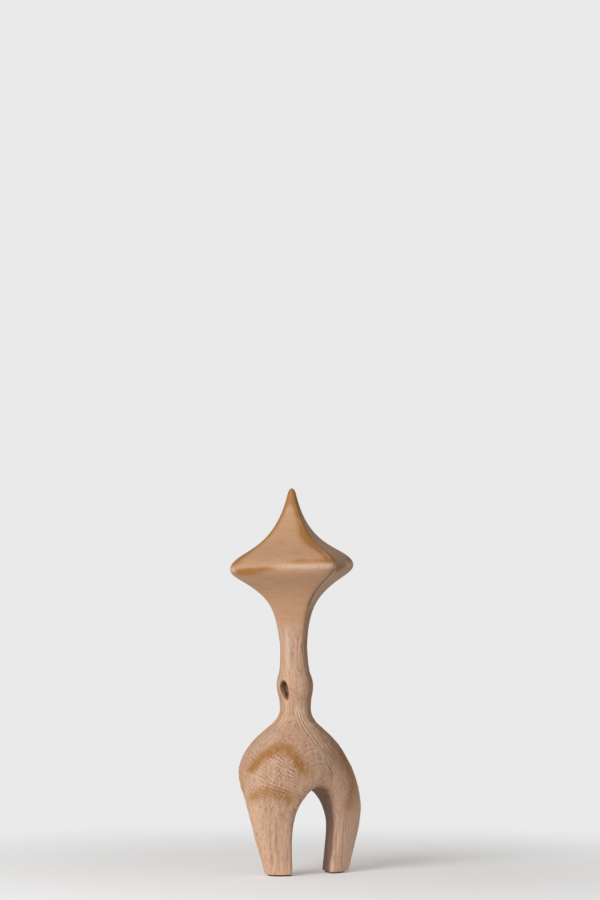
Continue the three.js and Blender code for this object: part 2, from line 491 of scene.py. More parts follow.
@dataclass
class SkinGrid:
    """Grids of the carved skin: one round the trunk and head, and one round each leg.

    Every point is a function of its turn and its level. The rows of a leg run along the outside
    of the thigh and back along the passage's wall, and both legs' first rows share the line over
    the passage's crown, so the three grids close without a seam.
    """

    block: Block
    outer_columns: int = 144
    wall_columns: int = 66
    leg_rows: int = 84
    body_rows: int = 66
    upper_pitch: float = 1.18
    body_top: float = 150.0
    sole: float = 1.5
    edge: float = 1.1
    corner_crowding: float = 0.17
    recess_crowding: float = 0.42
    sheet: Sheet = field(default_factory=Sheet)

    def arch_line(self, share: Array) -> tuple[Array, Array]:
        """Half of the passage's outline from its crown down to the foot.

        Down to the spring line it is a quarter of an ellipse, and from there a straight wall.

        Args:
            share: 0 at the crown, 1 at the foot.

        Returns:
            The share of the half width, and the height before the crown's lift.
        """
        gap = self.block.passage
        bend = 0.56
        angle = (1.0 - np.clip(share / bend, 0, 1)) * math.pi / 2
        rise = (gap.crown_height - gap.spring_height) * np.sin(angle)
        fall = np.clip((share - bend) / (1 - bend), 0, 1)
        foot = self.sole + self.edge
        return np.cos(angle), gap.spring_height + rise - (gap.spring_height - foot) * fall

    def wall(self, share: Array, y: Array, side: int) -> Array:
        """Points of the passage's wall, by their share of the way down and their place along it."""
        out, height = self.arch_line(share)
        away = y - self.block.passage.waist_at
        z = height + self.block.passage.crown_lift * away**2 * (1.0 - share) ** 0.5
        middle, half, _ = self.block.passage.spread(y, z)
        return np.stack([middle + side * half * out, y, z], -1)

    def rim(self, share: Array, side: int, facing: int) -> Array:
        """Where the passage's wall meets the block's outside, found by repeated halving in."""
        y = np.full_like(share, facing * 30.0)
        for _ in range(30):
            x, _, z = np.moveaxis(self.wall(share, y, side), -1, 0)
            across = np.abs((x - self.block.side.at(z)) / self.block.half_width.at(z))
            power = self.block.power.at(z)
            depth = np.clip(1.0 - np.clip(across, 0, 0.995) ** power, 0.0, 1.0) ** (1.0 / power)
            met = self.block.backward.at(z) + facing * self.block.half_depth.at(z) * depth
            y = y + 0.4 * (met - y)
        return self.wall(share, y, side)

    def first_row(self) -> Array:
        """The row in which the trunk parts into the legs, as turns and heights."""
        ends = [self.rim(np.zeros(1), 1, facing)[0] for facing in (-1, 1)]
        front, back = (float(self.block.turn_of(e)) for e in ends)
        n = self.outer_columns
        right = np.linspace(front, back - 2 * math.pi, n + 1)
        left = np.linspace(back - 2 * math.pi, front - 2 * math.pi, n + 1)[1:]
        turn = np.concatenate([right, left])
        j = np.arange(2 * n + 1)
        lift = 0.5 - 0.5 * np.cos(math.pi * j / n)
        return np.stack([turn, ends[0][2] + (ends[1][2] - ends[0][2]) * lift], -1)

    def even_turns(self, columns: int, level: Array) -> Array:
        """Turns round the upper block, closer together at the head's corners and the recess."""
        even = FRONT - 2 * math.pi * np.arange(columns + 1) / columns
        crowd = self.corner_crowding * eased((level - 205.0) / 50.0)
        turn = even - crowd * np.sin(4 * even)
        mouth = math.pi + math.asin(0.36)
        near = self.recess_crowding * bell(level - self.block.recess.height, 17.0)
        return turn - near * np.sin(turn - mouth)

    def trunk(self) -> None:
        """The grid from the first row up to the tip.

        Its lower part blends the first row's turns and heights into even ones, and its rows
        above that are spaced evenly along the block's profile.
        """
        start = self.first_row()
        share = np.linspace(0, 1, self.body_rows + 1)[:, None]
        level = start[:, 1] + (self.body_top - start[:, 1]) * share
        even = self.even_turns(2 * self.outer_columns, np.float64(self.body_top))
        turn = start[:, 0] + (even - start[:, 0]) * eased(share)
        body = self.block.outline(turn, level)
        heights = np.arange(self.body_top, self.block.top, 0.1)
        reach = self.block.half_width.at(heights)
        along = np.concatenate([[0], np.cumsum(np.hypot(np.diff(reach), np.diff(heights)))])
        count = int(along[-1] / self.upper_pitch)
        levels = np.interp(np.linspace(0, along[-1], count)[1:], along, heights)[:, None]
        upper = self.block.outline(self.even_turns(self.outer_columns, levels), levels)
        lower = self.sheet.add(body[:, :-1])
        lower = np.concatenate([lower, lower[:, :1]], 1)
        higher = self.sheet.add(upper[:, :-1])
        higher = np.concatenate([higher, higher[:, :1]], 1)
        pole = self.sheet.add(np.array([[self.block.side.at(380.0), 0.0, self.block.top]]))
        self.sheet.net(lower, True)
        self.sheet.halve(lower[-1], higher[0])
        self.sheet.net(higher, True)
        self.sheet.fan(higher[-1], int(pole[0]), True)
        self.top_row = lower[0]
        self.start = start

    def leg(self, side: int) -> None:
        """The grid of one leg, from the first row down to the sole.

        On the outside a row's height goes smoothly from the passage's rim to that of the thigh.
        The sole's edge is a quarter round, and the sole closes on its middle.

        Args:
            side: -1 for the doll's right leg and 1 for its left leg.
        """
        n = self.outer_columns
        share = np.linspace(0, 1, self.leg_rows + 1)
        front, back = self.rim(share, side, -1), self.rim(share, side, 1)
        first, last = (front, back) if side < 0 else (back, front)
        turns = np.unwrap(np.stack([self.block.turn_of(first), self.block.turn_of(last)], -1), axis=0)
        start = self.start[: n + 1] if side < 0 else self.start[n:]
        turns += start[[0, -1], 0] - turns[0]
        j = np.linspace(0, 1, n + 1)
        turn = turns[:, :1] + (turns[:, 1:] - turns[:, :1]) * j
        thigh = start[:, 1] + (self.sole + self.edge - start[:, 1]) * share[:, None]
        near_first = eased(1.0 - j * 2.4)
        near_last = eased(1.0 - (1.0 - j) * 2.4)
        level = thigh * (1 - near_first - near_last)
        level = level + first[:, 2:] * near_first + last[:, 2:] * near_last
        outer = self.block.outline(turn, level)
        k = np.linspace(0, 1, self.wall_columns + 1)[1:-1]
        y = last[:, 1:2] + (first[:, 1:2] - last[:, 1:2]) * k
        wall = self.wall(np.broadcast_to(share[:, None], y.shape), y, side)
        inner = self.crown_numbers(wall[0], side)
        own = self.sheet.add(np.concatenate([outer, wall], 1)[1:])
        top = np.concatenate([self.top_row[: n + 1] if side < 0 else self.top_row[n:], inner])
        rows = np.concatenate([top[None], own])
        rows = np.concatenate([rows, rows[:, :1]], 1)
        self.sheet.net(rows, False)
        self.soles.append(own[-1])

    def crown_numbers(self, line: Array, side: int) -> Array:
        """Numbers of the points over the passage's crown, which both legs share."""
        if side < 0:
            self.crown = self.sheet.add(line)
            return self.crown
        return self.crown[::-1]

    def close_sole(self, ring: Array, points: Array) -> None:
        """Rounds the edge of a foot and closes its sole.

        Rows of the quarter round are moved in and down by the sine and cosine of their angle
        times the edge's radius, and the sole's rows shrink onto the ring's middle.

        Args:
            ring: Numbers of the leg's last row.
            points: The places of that row after it has settled.
        """
        middle = points.mean(0) * [1, 1, 0] + [0, 0, self.sole]
        flat = (points - middle) * [1, 1, 0]
        size = np.linalg.norm(flat, axis=-1, keepdims=True)
        rows = []
        for angle in np.radians([22.5, 45.0, 67.5, 90.0]):
            inset = self.edge * (1 - math.cos(angle))
            row = middle + flat * (1 - inset / size)
            row[:, 2] = self.sole + self.edge * (1 - math.sin(angle))
            rows.append(row)
        for share in (0.86, 0.6, 0.3):
            rows.append(middle + (rows[3] - middle) * share)
        own = self.sheet.add(np.array(rows))
        pole = self.sheet.add(middle[None])
        rows_of = np.concatenate([ring[None], own])
        rows_of = np.concatenate([rows_of, rows_of[:, :1]], 1)
        self.sheet.net(rows_of, False)
        self.sheet.fan(rows_of[-1], int(pole[0]), False)

    def build(self) -> tuple[Array, Array, int]:
        """Makes the grids, settles them on the carved surface and evens out their cells.

        Returns:
            The points, the faces, and how many points come before those of the soles.
        """
        self.soles: list[Array] = []
        self.trunk()
        self.leg(-1)
        self.leg(1)
        points, faces = self.sheet.finished()
        held = np.zeros(len(points), bool)
        for ring in self.soles:
            held[ring] = True
        points = self.relaxed(self.block.settled(points, 4), faces, held)
        self.sheet.points = [points]
        skin = self.sheet.count
        for ring in self.soles:
            self.close_sole(ring, points[ring])
        points, faces = self.sheet.finished()
        return points, faces, skin

    def relaxed(self, points: Array, faces: Array, held: Array) -> Array:
        """Evens out the cells near the passage, and longer in and round the recess.

        Args:
            points: Places on the surface.
            faces: Faces by point number.
            held: Points that keep their height.

        Returns:
            The new places.
        """
        links = neighbours(faces)
        low = eased((128.0 - points[:, 2]) / 20.0)
        points = self.evened(points, links, low, held, 24)
        mouth = np.linalg.norm(np.stack(self.block.recess.local(points), -1), axis=-1)
        return self.evened(points, links, eased((23.0 - mouth) / 6.0), held, 160)

    def evened(self, points: Array, links: tuple, share: Array, held: Array, rounds: int) -> Array:
        """Moves points along the surface towards the middle of their neighbours, round by round.

        Args:
            points: Places on the surface.
            links: Both ends of every edge, each edge both ways.
            share: How much of the pull each point follows, from 0 to 1.
            held: Points that keep their height.
            rounds: How often the points are moved and settled again.

        Returns:
            The new places.
        """
        points = points.copy()
        active = np.flatnonzero(share > 0)
        slot = np.full(len(points), -1)
        slot[active] = np.arange(len(active))
        one, other = (end[slot[links[0]] >= 0] for end in links)
        one = slot[one]
        degree = np.bincount(one, minlength=len(active))[:, None]
        pull = 0.6 * share[active, None]
        fixed = held[active]
        for _ in range(rounds):
            parts = [np.bincount(one, points[other, axis], len(active)) for axis in range(3)]
            here = points[active]
            drift = np.stack(parts, -1) / degree - here
            normal = self.block.normals(here)
            drift -= (drift * normal).sum(-1, keepdims=True) * normal
            drift[fixed, 2] = 0.0
            moved = self.block.settled(here + pull * drift, 1)
            moved[fixed, 2] = here[fixed, 2]
            points[active] = moved
        return points


# ---------------------------------------------------------------- the carver's marks


BEYOND_SKIN = 110.0  # further from the middle than any part of the block, in millimetres
HALVINGS = 30


def faded(share: Array, rise: float, fall: float, lead: float = 0.0) -> Array:
    """A mark's strength along its way: up from its start and down to its end.

    Args:
        share: Where along the mark each point is, from 0 to 1.
        rise: How steeply it begins.
        fall: How steeply it ends.
        lead: How far up it is at its very ends.

    Returns:
        The strength at each point, from 0 to 1.
    """
    return eased(share * rise + lead) * eased((1.0 - share) * fall + lead)


@dataclass(frozen=True)
class Mark:
    """A bowed line on the skin between two places, each given as degrees from the front and height.

    The line goes evenly from start to end, and half a sine wave bows it aside.
    """

    start: tuple[float, float]
    end: tuple[float, float]
    bow: tuple[float, float] = (0.0, 0.0)

    def line(self, block: Block, steps: int = 40) -> Array:
        """Points of the line on the block's outside, found by repeated halving.

        Args:
            block: The block that carries the line.
            steps: How many points it has.

        Returns:
            Its places in millimetres, one in a row.
        """
        t = np.linspace(0.0, 1.0, steps)
        turn, level = (
            a + (b - a) * t + c * np.sin(math.pi * t)
            for a, b, c in zip(self.start, self.end, self.bow)
        )
        start = np.stack([np.sin(np.radians(turn)), -np.cos(np.radians(turn))], -1)
        centre = np.stack([block.side.at(level), block.backward.at(level)], -1)
        low, high = np.zeros(steps), np.full(steps, BEYOND_SKIN)
        for _ in range(HALVINGS):
            middle = (low + high) / 2
            flat = centre + start * middle[:, None]
            outside = block.outside(np.column_stack([flat, level])) > 0
            low, high = np.where(outside, low, middle), np.where(outside, middle, high)
        return np.column_stack([centre + start * low[:, None], level])

    def distances(self, block: Block, points: Array) -> tuple[Array, Array]:
        """Distance from each point to the line, and where along the line it is nearest.

        Args:
            block: The block that carries the line.
            points: Places on the skin.

        Returns:
            The distance in millimetres, negative on the line's left, and the share of the way.
        """
        line = self.line(block)
        best = np.full(len(points), 1e9)
        share = np.zeros(len(points))
        sign = np.ones(len(points))
        normal = block.normals(line)
        for i in range(len(line) - 1):
            step = line[i + 1] - line[i]
            away = points - line[i]
            t = np.clip(away @ step / (step @ step), 0.0, 1.0)
            rest = away - t[:, None] * step
            length = np.linalg.norm(rest, axis=-1)
            nearer = length < best
            best = np.where(nearer, length, best)
            share = np.where(nearer, (i + t) / (len(line) - 1), share)
            sign = np.where(nearer, np.sign(rest @ np.cross(normal[i], step)), sign)
        return best * sign, share

    def near(self, block: Block, points: Array, reach: float) -> tuple[Array, Array, Array]:
        """The points in the line's surroundings, with their distances and shares of the way.

        Args:
            block: The block that carries the line.
            points: Places on the skin.
            reach: How far beyond the line's own box a point may lie.

        Returns:
            The numbers of the points, their distances and their shares of the way.
        """
        line = self.line(block)
        inside = (points > line.min(0) - reach) & (points < line.max(0) + reach)
        numbers = np.flatnonzero(inside.all(-1))
        return numbers, *self.distances(block, points[numbers])


@dataclass(frozen=True)
class Strokes:
    """Gouge strokes side by side: the first one's line, how many, and the step to the next.

    Each next stroke is shallower by the same share, and pale says how strong the painted
    highlight along its edge is. A stroke is a bell-shaped furrow with a low rim on both sides and
    a pale line, a painted highlight, on one.
    """

    first: Mark
    count: int
    step: tuple[float, float]
    depth: float = 0.5
    pale: float = 0.5
    width: float = 0.75
    fading: float = 0.15
    rim_height: float = 0.4
    rim_away: float = 1.9
    pale_away: float = 1.5
    edge_width: float = 0.8

    def each(self) -> Iterator[tuple[Mark, float]]:
        """Every stroke's line and its share of the full depth.

        Returns:
            The line and the share, for one stroke after another.
        """
        for i in range(self.count):
            move = np.multiply(self.step, i)
            start, end = (tuple(np.add(place, move)) for place in (self.first.start, self.first.end))
            yield Mark(start, end, self.first.bow), 1.0 - self.fading * i


GOUGE_STROKES = (
    Strokes(Mark((-35, 170), (25, 95)), 3, (6, 3), depth=0.7, pale=0.9),
    Strokes(Mark((-10, 170), (25, 115)), 3, (7, 0), depth=0.6, pale=0.8),
    Strokes(Mark((5, 130), (-35, 118), (0, 5)), 5, (2, -5), depth=0.45, pale=0.3, fading=0.1),
    Strokes(Mark((15, 120), (30, 95)), 2, (4, 0), depth=0.4, pale=0.6),
    Strokes(Mark((-70, 160), (-90, 130)), 3, (10, -2), depth=0.3, pale=0.5),
    Strokes(Mark((-25, 170), (-12, 160)), 2, (0, -4), depth=0.4, pale=0.6),
    Strokes(Mark((0, 225), (15, 180), (5, 0)), 4, (10, -6), depth=0.5, pale=0.15, fading=0.1),
    Strokes(Mark((150, 160), (195, 105)), 2, (-10, -2), depth=0.6, pale=0.6),
    Strokes(Mark((205, 150), (165, 110)), 1, (0, 0), depth=0.45, pale=0.5),
    Strokes(Mark((95, 150), (80, 120)), 1, (0, 0), depth=0.35, pale=0.4),
)
UPPER_RUB = Mark((-87, 100), (-17, 100), (0, 27))
LOWER_RUB = Mark((-87, 75), (-47, 75), (0, 9))
FAR_HIP_RUB = Mark((45, 125), (65, 60), (3, 0))
NECK_HIGHLIGHT = Mark((-57, 250), (-60, 195))
HIP_RUBS = ((UPPER_RUB, 5.0, 1.0), (LOWER_RUB, 5.0, 0.85), (FAR_HIP_RUB, 7.0, 0.75))  # width, strength
BACK_RUBS = (((42.0, 36.0, 108.0), 9.0), ((-38.0, 34.0, 96.0), 7.0))  # middle, half the height
RASP_SETS = ((31, 0.66, 2.7), (47, -1.05, 2.9), (53, 0.42, 3.4))  # seed, slant in radians, pitch
HIP_MIDDLE = 5.0
HIP_RADIUS = 48.0
RIDGE_CREST = 302.4


@dataclass(frozen=True)
class Carving:
    """What the carver's tools and years of handling left on the wood, and painted highlights and shade.

    Depths are in millimetres. The marks raise or lower the skin along its normal, and the rubs
    are shares from 0 to 1 that the wood's finish reads.
    """

    block: Block
    unevenness: float = 0.25
    streak_depth: float = 0.46
    rasp_depth: float = 0.60
    head_line_depth: float = 0.05

    def streaks(self, points: Array) -> Array:
        """Ridges along the grain: noise drawn out upwards, above and below zero.

        Args:
            points: Places on the skin.

        Returns:
            The streaks at each point.
        """
        fine = layered_noise(points * [0.42, 0.42, 0.022], 3, 2)
        finer = lattice_noise(points * [0.75, 0.75, 0.06], 9)
        broad = lattice_noise(points * [0.18, 0.18, 0.012], 5)
        return 0.6 * fine + 0.35 * finer + 0.25 * broad

    def rasping(self, points: Array) -> Array:
        """Crossed rasp strokes: three sets of slanting furrows, each broken up by noise.

        Args:
            points: Places on the skin.

        Returns:
            The furrows' height at each point, above and below zero.
        """
        turn = np.arctan2(points[:, 0] - HIP_MIDDLE, -points[:, 1])
        along = turn * HIP_RADIUS
        z = points[:, 2]
        wobble = 1.6 * lattice_noise(points * 0.07, 21)
        total = np.zeros(len(points))
        for seed, slant, pitch in RASP_SETS:
            across = z * math.cos(slant) + along * math.sin(slant) + wobble
            lengthways = along * math.cos(slant) - z * math.sin(slant)
            lane = np.stack([np.round(across / pitch) * 3.7, lengthways * 0.085, 0 * z], -1)
            present = eased(1.8 * lattice_noise(lane, seed) + 0.35)
            total += np.cos(2 * math.pi * across / pitch) * present
        return 0.8 * total

    def rasped(self, points: Array) -> Array:
        """Share of rasping: strongest on the right hip, weaker on the left one and at the back.

        Args:
            points: Places on the skin.

        Returns:
            The share at each point, from 0 to 1.
        """
        x, y, z = points.T
        turn = np.degrees(np.arctan2(x - HIP_MIDDLE, -y))
        height = eased((132.0 - z) / 18.0) * eased((z - 68.0) / 18.0)
        near = bell(np.clip(np.abs(turn + 58.0) - 16.0, 0, None), 22.0)
        near = near + 0.4 * bell(turn - 62.0, 24.0)
        behind = 0.65 * bell(np.clip(np.abs(np.abs(turn) - 128.0) - 10, 0, None), 22.0)
        patch = 1.0 + 0.6 * lattice_noise(points * 0.045, 61)
        return np.clip(height * (near + behind) * patch, 0.0, 1.0)

    def grooves(self, points: Array) -> tuple[Array, Array]:
        """The gouge strokes on the chest, shoulders, front and back, and the painted highlight down the
        neck.

        Args:
            points: Places on the skin.

        Returns:
            The height change in millimetres, and the share of painted highlight.
        """
        height, pale_highlight = np.zeros(len(points)), np.zeros(len(points))
        for strokes in GOUGE_STROKES:
            for mark, strength in strokes.each():
                near, away, share = mark.near(self.block, points, 5.0)
                local = away + 0.9 * lattice_noise(points[near] * 0.06, 7)
                fade = strength * faded(share, 6.0, 5.0)
                rim = bell(np.abs(local) - strokes.rim_away * strokes.width, strokes.edge_width)
                furrow = bell(local, strokes.width)
                height[near] += fade * strokes.depth * (strokes.rim_height * rim - furrow)
                # Painted highlight: a pale line along each stroke's lit edge.
                edge = bell(local + strokes.pale_away * strokes.width, strokes.edge_width)
                pale_highlight[near] += fade * strokes.pale * edge
        # Painted highlight: a pale line down the neck's lit facet.
        near, away, share = NECK_HIGHLIGHT.near(self.block, points, 9.0)
        pale_highlight[near] += 0.55 * bell(away, 2.6) * faded(share, 4.0, 4.0)
        return height, np.clip(pale_highlight, 0.0, 1.0)

    def head_share(self, points: Array) -> Array:
        """1 on the satin head, 0 on the matte body, changing over in the upper neck."""
        return eased((points[:, 2] - 232.0) / 24.0)

    def still(self, points: Array) -> Array:
        """1 on most of the skin; towards the soles and the tip it falls to 0, and streaks fade out."""
        z = points[:, 2]
        return eased(z / 6.0) * eased((self.block.top - z) / 40.0)

    def texture(self, points: Array) -> tuple[Array, Array]:
        """The streaks and the rasp marks at each point, without their depths.

        Args:
            points: Places on the skin.

        Returns:
            The streaks and the rasp marks.
        """
        inside = eased(-self.block.outside(points) / 6.0)
        rasped = self.rasped(points) * (1.0 - inside)
        streaks = self.streaks(points) * (1.0 - 0.93 * self.head_share(points)) * self.still(points)
        return streaks * (1.0 - 0.4 * rasped), self.rasping(points) * rasped

    def relief(self, points: Array) -> Array:
        """Height of all tool marks at each point, along the normal.

        Args:
            points: Places on the skin.

        Returns:
            The height in millimetres.
        """
        head = self.head_share(points)
        z = points[:, 2]
        broad = layered_noise(points / [26.0, 26.0, 38.0], 71, 2)
        uneven = self.unevenness * broad * self.still(points)
        lines = np.sin(z * 2.3 + 1.6 * lattice_noise(points * 0.05, 83))
        under = head * eased((300.0 - z) / 10.0)
        lines *= self.head_line_depth * under * (0.6 + 0.6 * lattice_noise(points * 0.06, 85))
        streaks, rasping = self.texture(points)
        marks = self.streak_depth * streaks + self.rasp_depth * rasping
        ridge, furrow = self.head_rub(points)[2:]
        lines += 0.4 * np.clip(ridge, 0.0, 1.0) - 0.55 * furrow
        return uneven * (1.0 - 0.5 * head) + marks + self.grooves(points)[0] + lines

    def contrast(self, points: Array) -> Array:
        """Painted highlight on the crests and painted shade in the furrows of the tool marks, from 0 to 1.

        Args:
            points: Places on the skin.

        Returns:
            0 in the deepest furrow and 1 on the highest crest.
        """
        streaks, rasping = self.texture(points)
        marks = 0.5 * streaks + 0.52 * rasping + 1.2 * self.grooves(points)[0]
        return np.clip(0.5 + marks, 0.0, 1.0)

    def hip_rub(self, points: Array) -> Array:
        """Orange-brown rubs on the hips, as broken bands along their marks.

        Args:
            points: Places on the skin.

        Returns:
            The orange-brown share, from 0 to 1.
        """
        ragged = layered_noise(points * [0.2, 0.2, 0.16], 91, 3)
        total = np.zeros(len(points))
        for mark, width, strength in HIP_RUBS:
            near, away, share = mark.near(self.block, points, 22.0)
            rough = ragged[near]
            ends = faded(share, 6.0, 6.0, 0.4)
            band = bell(np.maximum(np.abs(away + 3.0 * rough) - 1.5, 0.0), width)
            total[near] += strength * ends * band * (0.85 + 0.5 * rough)
        for place, height in BACK_RUBS:
            away = np.linalg.norm((points - place) / [16.0, 30.0, height], axis=-1)
            total += 0.5 * eased(1.6 - away + 0.5 * ragged)
        foot = eased((5.0 - points[:, 2]) / 5.0) * (0.25 + 0.4 * ragged)
        return np.clip(total + foot, 0.0, 1.0)

    def head_rub(self, points: Array) -> tuple[Array, Array, Array, Array]:
        """Rubs, wear and painted highlights and shade on the head's edges.

        On each face, the way along the ridge goes from 0 at its left corner to 1 at its right
        one. The rub lies along both upper edges, and along the ridge, below it at the left
        corner and above it at the right. It also covers the tip. The pale share is wear and a
        painted highlight on the ridge's crest towards the right corner, with a painted highlight
        at the left corner. A pale line beside the lower edge of the next face is a painted
        highlight, and the band between that line and the edge is painted shade.

        Args:
            points: Places on the skin.

        Returns:
            The orange-brown share, the share of wear and painted highlight, the share of the
            painted highlight line beside the lower edges, and that of the painted shade band between
            the line and the edge.
        """
        x, y, z = points.T
        level = z - self.block.rise(x, y, z)
        dx, dy = x - self.block.side.at(level), y - self.block.backward.at(level)
        turn = np.arctan2(dy, dx) + math.pi
        turn -= np.floor(turn / (math.pi / 2)) * math.pi / 2
        reach = np.hypot(dx, dy)
        left, right = reach * np.sin(turn), reach * np.cos(turn)
        way = np.sin(turn) / (np.sin(turn) + np.cos(turn))
        ragged = layered_noise(points * 0.10, 95, 3)
        smeared = layered_noise(points * [0.05, 0.05, 0.35], 97, 2)
        head = eased((level - 262.0) / 24.0)
        above = eased((level - 303.0) / 6.0)
        rise = eased((level - 305.0) / 24.0)
        upper_left = bell(left, 2.6 + 3.2 * (1.0 - rise)) * (1.4 + 0.5 * ragged)
        heart = bell(level - 330.0, 13.0)
        inset = 1.6 + 2.4 * eased((352.0 - level) / 30.0)
        upper_right = bell(right - inset, 2.0 + 2.0 * heart) * (0.75 + 0.8 * heart + 0.5 * ragged)
        crest = level - RIDGE_CREST
        low = bell(crest + 2.8, 3.5) * bell(way - 0.16, 0.13) * 1.6
        low += bell(crest + 0.8, 2.6) * bell(way - 0.34, 0.11) * 0.9
        high = bell(crest - 5.2, 2.4) * eased((way - 0.52) / 0.18) * (1.0 + 0.8 * smeared)
        tip = eased((level - 360.0) / 9.0)
        rub = head * (above * (upper_left + upper_right) + low + high) + tip
        # Wear with a painted highlight along the crest towards the right corner, and a painted highlight
        # spot at the left corner.
        wear_and_highlight = bell(crest - 0.2, 2.4) * eased((way - 0.36) / 0.2) * (0.9 + 0.5 * smeared)
        corner_highlight = bell(crest + 1.0, 2.0) * bell(way - 0.03, 0.035)
        pale = eased((reach - 44.0) / 8.0) * (wear_and_highlight + corner_highlight)
        # Painted highlight: a pale line beside the lower edges; painted shade: the band between it and the
        # edge. relief() also raises the line and cuts the band as a furrow.
        lower = eased((301.0 - level) / 6.0) * eased((level - 260.0) / 8.0) * (dx * dy < 0)
        line = lower * np.stack([1.3 * bell(left - 4.9, 1.0), bell(left - 2.0, 2.2)])
        return np.clip(rub, 0.0, 1.0), np.clip(head * pale, 0.0, 1.0), *line


# ---------------------------------------------------------------- finishes


class Surface(Enum):
    """Per-point shares that the wood's material reads from the mesh, painted highlights and shade among
    them.
    """

    RUB = "rub"
    WEAR_AND_HIGHLIGHT = "wear_and_highlight"
    SATIN = "satin"
    MARK_SHADING = "crest"
    PALE_HIGHLIGHT = "pale_highlight"
    PAINTED_SHADE = "painted_shade"
    TONE_AND_SHADE = "tone"


class Nodes:
    """A material's node tree with short ways to add and join its nodes."""

    def __init__(self, name: str) -> None:
        """Starts an empty material."""
        self.material = bpy.data.materials.new(name)
        self.material.use_nodes = True
        self.tree = self.material.node_tree
        self.tree.nodes.clear()
        self.output = self.tree.nodes.new("ShaderNodeOutputMaterial")

    def add(self, kind: str, inputs: dict | None = None, **settings: object) -> bpy.types.Node:
        """Adds a node.

        Args:
            kind: The node type's name after "ShaderNode".
            inputs: Sockets by name or number: a socket to join, or a value to set.
            settings: The node's own properties.

        Returns:
            The node.
        """
        node = self.tree.nodes.new("ShaderNode" + kind)
        for name, value in settings.items():
            setattr(node, name, value)
        for name, value in (inputs or {}).items():
            if isinstance(value, bpy.types.NodeSocket):
                self.tree.links.new(value, node.inputs[name])
            else:
                node.inputs[name].default_value = value
        return node

    def place(self, scale: tuple[float, float, float], turn: float = 0.0) -> bpy.types.NodeSocket:
        """Object coordinates, multiplied by a scale for each axis."""
        place = self.add("TexCoord").outputs["Object"]
        rotation = (0.0, turn, 0.0)
        return self.add("Mapping", {"Vector": place, "Scale": scale, "Rotation": rotation}).outputs[0]

    def noise(self, scale: tuple[float, float, float], detail: float, rough: float) -> bpy.types.NodeSocket:
        """Noise on Object coordinates, about 0.5 on average."""
        inputs = {"Vector": self.place(scale), "Scale": 1.0, "Detail": detail, "Roughness": rough}
        return self.add("TexNoise", inputs).outputs["Fac"]

    def ramp(self, value: bpy.types.NodeSocket, low: float, high: float) -> bpy.types.NodeSocket:
        """Brings the values from low to high to 0 to 1, smoothly, and holds the rest."""
        inputs = {"Value": value, "From Min": low, "From Max": high}
        return self.add("MapRange", inputs, interpolation_type="SMOOTHSTEP").outputs["Result"]

    def within(self, value: object, low: float, high: float) -> bpy.types.NodeSocket:
        """Brings values from 0 to 1 to the range from low to high."""
        inputs = {"Value": value, "To Min": low, "To Max": high}
        return self.add("MapRange", inputs).outputs["Result"]

    def share(self, surface: Surface) -> bpy.types.NodeSocket:
        """One of the mesh's own per-point shares."""
        return self.add("Attribute", attribute_name=surface.value).outputs["Fac"]

    def math(self, operation: str, one: object, other: object) -> bpy.types.NodeSocket:
        """A sum, product or other result of two values, held between 0 and 1."""
        return self.add("Math", {0: one, 1: other}, operation=operation, use_clamp=True).outputs[0]

    def mix(self, share: object, one: object, other: object) -> bpy.types.NodeSocket:
        """A colour between two colours."""
        node = self.add("Mix", data_type="RGBA")
        for socket, value in zip((node.inputs[0], node.inputs[6], node.inputs[7]), (share, one, other)):
            if isinstance(value, bpy.types.NodeSocket):
                self.tree.links.new(value, socket)
            else:
                socket.default_value = value
        return node.outputs[2]

    def shine(self, shader: bpy.types.Node) -> bpy.types.Material:
        """Joins the last shader to the output and returns the material."""
        self.tree.links.new(shader.outputs[0], self.output.inputs["Surface"])
        return self.material


def tint(red: float, green: float, blue: float) -> tuple[float, float, float, float]:
    """A colour for a shader from the usual 0 to 255 screen values.

    Args:
        red: Red, from 0 to 255.
        green: Green, from 0 to 255.
        blue: Blue, from 0 to 255.

    Returns:
        Red, green, blue and opacity.
    """
    parts = [v / 255.0 for v in (red, green, blue)]
    linear = [v / 12.92 if v <= 0.04045 else ((v + 0.055) / 1.055) ** 2.4 for v in parts]
    return (*linear, 1.0)


